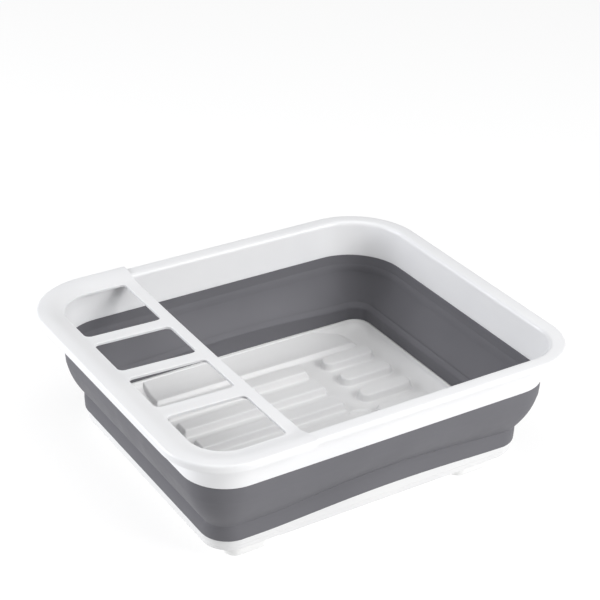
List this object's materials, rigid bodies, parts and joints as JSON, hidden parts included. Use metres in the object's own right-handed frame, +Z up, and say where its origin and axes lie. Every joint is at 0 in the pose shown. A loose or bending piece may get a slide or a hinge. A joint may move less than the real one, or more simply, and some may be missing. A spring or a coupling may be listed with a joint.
{
  "type": "collapsible drying tub",
  "caption": "Rectangular drying tub with a folding rubber wall, a ribbed floor tray, low feet and a lift-off divider with windows over one end of the rim.",
  "frame": {"origin": "on the surface the feet stand on, under the middle of the overall box", "axes": "+X along the long side, away from the divider's end; +Y to the back; +Z up"},
  "size_m": [0.37, 0.3234, 0.1181],
  "materials": {
    "rim_plastic": "satin white moulded plastic",
    "tray_plastic": "satin white moulded plastic",
    "divider_plastic": "satin white moulded plastic",
    "wall_rubber": "soft matt grey",
    "foot_rubber": "milky white"
  },
  "bodies": {
    "base": {"base_tray": "tray_plastic", "foot_front_left": "foot_rubber", "foot_back_left": "foot_rubber", "foot_front_right": "foot_rubber", "foot_back_right": "foot_rubber", "wall_lower_band": "wall_rubber"},
    "fold_1": {"wall_fold_1": "wall_rubber"},
    "fold_2": {"wall_fold_2": "wall_rubber"},
    "fold_3": {"wall_fold_3": "wall_rubber"},
    "fold_4": {"wall_fold_4": "wall_rubber"},
    "fold_5": {"wall_fold_5": "wall_rubber"},
    "rim": {"wall_collar": "wall_rubber", "rim_frame": "rim_plastic"},
    "divider": {"utensil_divider": "divider_plastic"}
  },
  "joints": [
    {"name": "collapse", "type": "slide", "parent": "base", "child": "rim", "axis": [0, 0, -1], "range_m": [0, 0.06]},
    {"name": "fold_1_slide", "type": "slide", "parent": "base", "child": "fold_1", "axis": [0, 0, -1], "range_m": [0, 0.0372]},
    {"name": "fold_2_slide", "type": "slide", "parent": "base", "child": "fold_2", "axis": [0, 0, -1], "range_m": [0, 0.0225]},
    {"name": "fold_3_slide", "type": "slide", "parent": "base", "child": "fold_3", "axis": [0, 0, -1], "range_m": [0, 0.0122]},
    {"name": "fold_4_slide", "type": "slide", "parent": "base", "child": "fold_4", "axis": [0, 0, -1], "range_m": [0, 0.0053]},
    {"name": "fold_5_slide", "type": "slide", "parent": "base", "child": "fold_5", "axis": [0, 0, -1], "range_m": [0, 0.0014]},
    {"name": "divider_lift", "type": "slide", "parent": "rim", "child": "divider", "axis": [0, 0, 1], "range_m": [0, 0.05]}
  ],
  "couplings": [
    {"joint": "fold_1_slide", "follows": "collapse", "ratio": 0.615},
    {"joint": "fold_2_slide", "follows": "collapse", "ratio": 0.37},
    {"joint": "fold_3_slide", "follows": "collapse", "ratio": 0.199},
    {"joint": "fold_4_slide", "follows": "collapse", "ratio": 0.085},
    {"joint": "fold_5_slide", "follows": "collapse", "ratio": 0.021}
  ]
}
